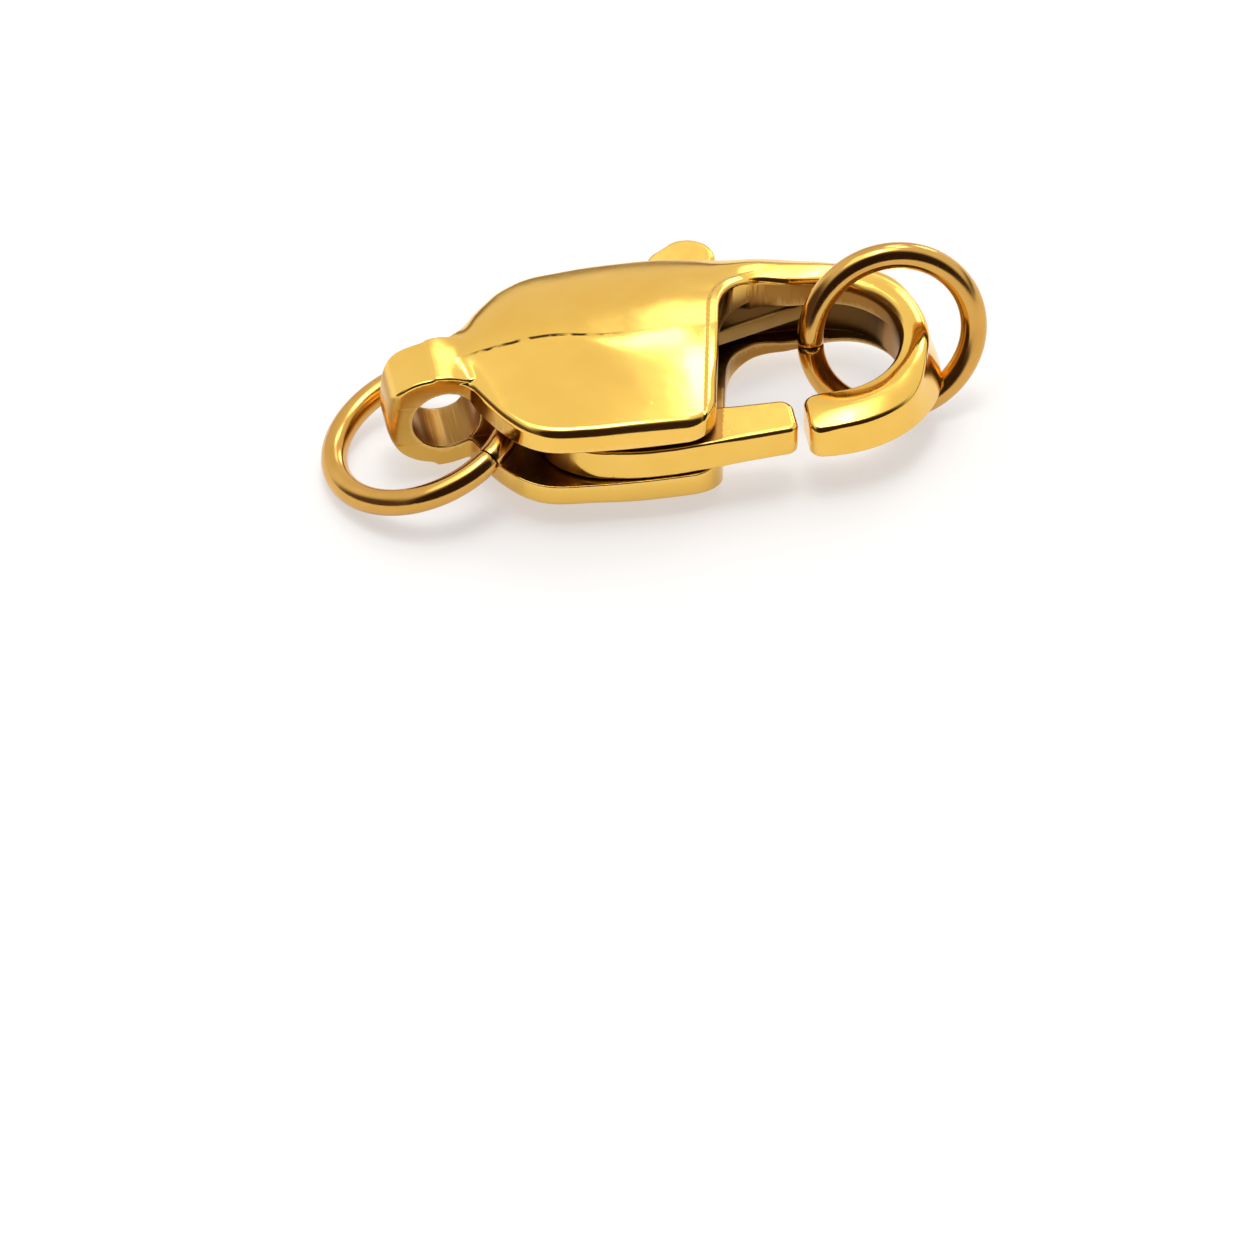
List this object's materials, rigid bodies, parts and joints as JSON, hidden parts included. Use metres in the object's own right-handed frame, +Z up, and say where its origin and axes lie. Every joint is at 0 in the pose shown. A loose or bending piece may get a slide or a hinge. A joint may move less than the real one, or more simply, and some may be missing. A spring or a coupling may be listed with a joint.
{
  "type": "lobster clasp",
  "caption": "Polished gold-tone lobster clasp with a sprung side gate, a thumb tab and an open jump ring on each end.",
  "frame": {"origin": "on the small flat that the clasp rests on, straight under the lever's pivot line", "axes": "+X from the eye to the hook, +Y from the gate to the thumb tab, +Z up, out of the crowned back"},
  "size_m": [0.0139, 0.0064, 0.0039],
  "materials": {
    "cast_gold_tone": "polished",
    "lever_gold_tone": "polished",
    "pin_gold_tone": "polished",
    "spring_steel": "satin",
    "ring_gold_tone": "polished"
  },
  "bodies": {
    "housing": {"body": "cast_gold_tone", "pivot_pin": "pin_gold_tone", "return_spring": "spring_steel", "tail_ring": "ring_gold_tone", "hook_ring": "ring_gold_tone"},
    "lever": {"lever": "lever_gold_tone"}
  },
  "joints": [
    {"name": "lever_pivot", "type": "hinge", "parent": "housing", "child": "lever", "pos_m": [0, -0.0012, 0.00145], "axis": [0, 0, 1], "range_deg": [0, 25], "stiffness_Nm_per_rad": 0.00002, "springref_deg": -17.19, "deforming": ["return_spring"]}
  ]
}
